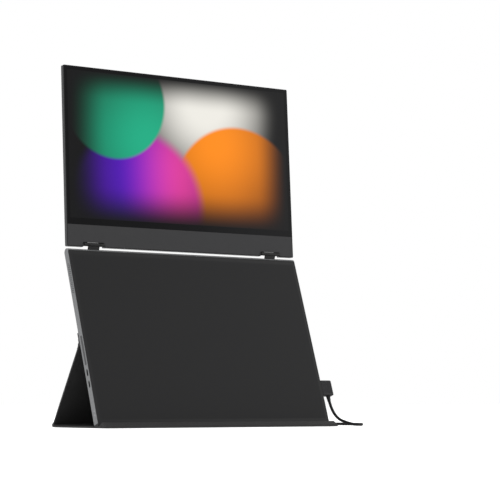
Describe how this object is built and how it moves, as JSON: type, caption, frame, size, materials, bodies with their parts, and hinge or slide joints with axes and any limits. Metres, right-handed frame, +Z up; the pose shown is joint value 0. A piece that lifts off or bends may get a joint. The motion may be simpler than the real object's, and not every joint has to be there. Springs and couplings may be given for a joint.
{
  "type": "laptop screen extender",
  "caption": "Wide display hinged above a lower panel that stands behind a laptop lid on a folding leather-covered stand, with a plugged-in cable.",
  "frame": {"origin": "on the desk, under the middle of the object", "axes": "+X to the right of the display, +Y to the back, +Z up"},
  "size_m": [0.4258, 0.2237, 0.4656],
  "materials": {
    "aluminium_shell": "satin bead-blasted",
    "chin_plastic": "matte",
    "cover_glass": "gloss",
    "lcd_glass": "gloss",
    "white_plastic": "matte",
    "circuit_board": "satin",
    "chip_black": "matte",
    "flex_film": "satin",
    "hinge_steel": "satin black",
    "pin_steel": "brushed",
    "cover_plastic": "matte",
    "plate_steel": "brushed",
    "speaker_plastic": "matte",
    "port_steel": "satin",
    "rocker_plastic": "satin",
    "lamp_plastic": "gloss",
    "stand_plate": "matte",
    "black_leather": "fine grain",
    "toe_rubber": "matte",
    "magnet_steel": "plated",
    "plug_plastic": "matte",
    "relief_rubber": "matte",
    "plug_steel": "satin",
    "cable_rubber": "matte",
    "tie_fabric": "woven"
  },
  "bodies": {
    "base": {"base_rear_shell": "aluminium_shell", "main_board": "circuit_board", "board_chips": "chip_black", "rocker_switches": "chip_black", "tilt_arm_left": "hinge_steel", "tilt_arm_right": "hinge_steel", "arm_screws": "pin_steel", "base_front_cover": "cover_plastic", "base_stiffener": "plate_steel", "speaker_left": "speaker_plastic", "speaker_right": "speaker_plastic", "port_socket_low": "port_steel", "port_socket_high": "port_steel", "port_socket_right": "port_steel", "status_lights": "lamp_plastic", "stand_fixed_leaf": "stand_plate", "stand_fixed_strip": "black_leather", "toe_board": "black_leather", "toe_fold": "black_leather", "toe_wedge": "toe_rubber", "plug_body": "plug_plastic", "far_plug_body": "plug_plastic", "plug_relief": "relief_rubber", "far_plug_relief": "relief_rubber", "plug_tip": "plug_steel", "far_plug_tip": "plug_steel", "cable_lead": "cable_rubber", "cable_coil": "cable_rubber", "coil_tie": "tie_fabric"},
    "display": {"display_rear_shell": "aluminium_shell", "display_chin_cover": "chin_plastic", "display_cover_glass": "cover_glass", "lcd_cell": "lcd_glass", "backlight_tray": "white_plastic", "timing_board": "circuit_board", "timing_chips": "chip_black", "display_flex": "flex_film", "tilt_leaf_left": "hinge_steel", "tilt_leaf_right": "hinge_steel", "tilt_pin_left": "pin_steel", "tilt_pin_right": "pin_steel", "leaf_screws": "pin_steel"},
    "leg": {"leg_core": "stand_plate", "leg_skin_outer": "black_leather", "leg_skin_inner": "black_leather", "leg_hinge_pin": "pin_steel"},
    "flap": {"flap_core": "stand_plate", "flap_magnets": "magnet_steel", "flap_skin_bottom": "black_leather", "flap_skin_top": "black_leather", "flap_hinge_pin": "pin_steel"},
    "rocker": {"rocker_button": "rocker_plastic"}
  },
  "joints": [
    {"name": "display_tilt", "type": "hinge", "parent": "base", "child": "display", "pos_m": [0, 0.03159, 0.23311], "axis": [1, 0, 0], "range_deg": [-16, 163]},
    {"name": "leg_fold", "type": "hinge", "parent": "base", "child": "leg", "pos_m": [0, 0.00001, 0.10366], "axis": [1, 0, 0], "range_deg": [-50, 0]},
    {"name": "flap_fold", "type": "hinge", "parent": "leg", "child": "flap", "pos_m": [0, 0.0654, 0.0026], "axis": [1, 0, 0], "range_deg": [0, 110]},
    {"name": "rocker_press", "type": "slide", "parent": "base", "child": "rocker", "axis": [1, 0, 0], "range_m": [0, 0.0006], "stiffness_N_per_m": 1500, "springref_m": -0.0005}
  ],
  "couplings": [
    {"joint": "flap_fold", "follows": "leg_fold", "ratio": -2.2}
  ]
}
